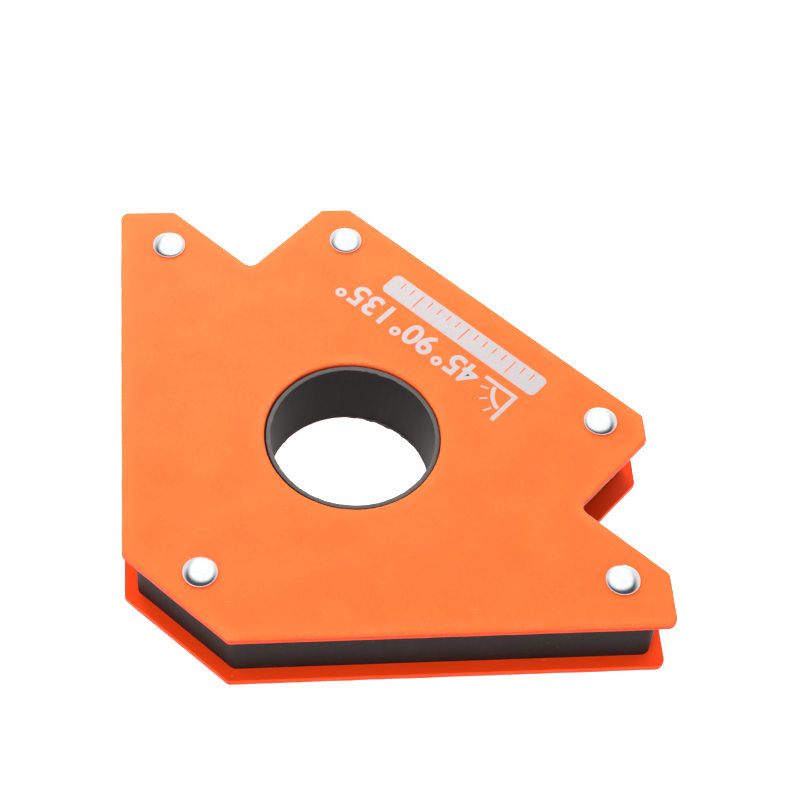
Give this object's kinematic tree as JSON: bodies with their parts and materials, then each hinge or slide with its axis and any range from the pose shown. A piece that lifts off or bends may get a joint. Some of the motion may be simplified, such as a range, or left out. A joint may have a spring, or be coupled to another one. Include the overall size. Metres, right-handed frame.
{
  "type": "welding magnet holder",
  "caption": "Arrow-shaped magnetic holder for welding: two notched steel plates riveted over a moulded core with magnets, for work set at 45, 90 and 135 degrees.",
  "frame": {"origin": "middle of the bounding box's underside, on the surface that the rivet tails stand on, below the line of symmetry", "axes": "+X along the long edge, +Y along the line of symmetry from the corner flat to the long edge, +Z through the thickness, along the bore, from the rear plate to the front plate"},
  "size_m": [0.119, 0.0768, 0.0166],
  "materials": {
    "orange_powder_coat": "satin",
    "moulded_core": "matte",
    "ferrite": "matte",
    "plated_rivet": "polished"
  },
  "bodies": {
    "root": {"front_plate": "orange_powder_coat", "rear_plate": "orange_powder_coat", "core_spacer": "moulded_core", "ferrite_block_left_leg": "ferrite", "ferrite_block_right_leg": "ferrite", "ferrite_block_long_edge": "ferrite", "rivet_corner": "plated_rivet", "rivet_left_tip": "plated_rivet", "rivet_right_tip": "plated_rivet", "rivet_left_shoulder": "plated_rivet", "rivet_right_shoulder": "plated_rivet"}
  },
  "joints": []
}
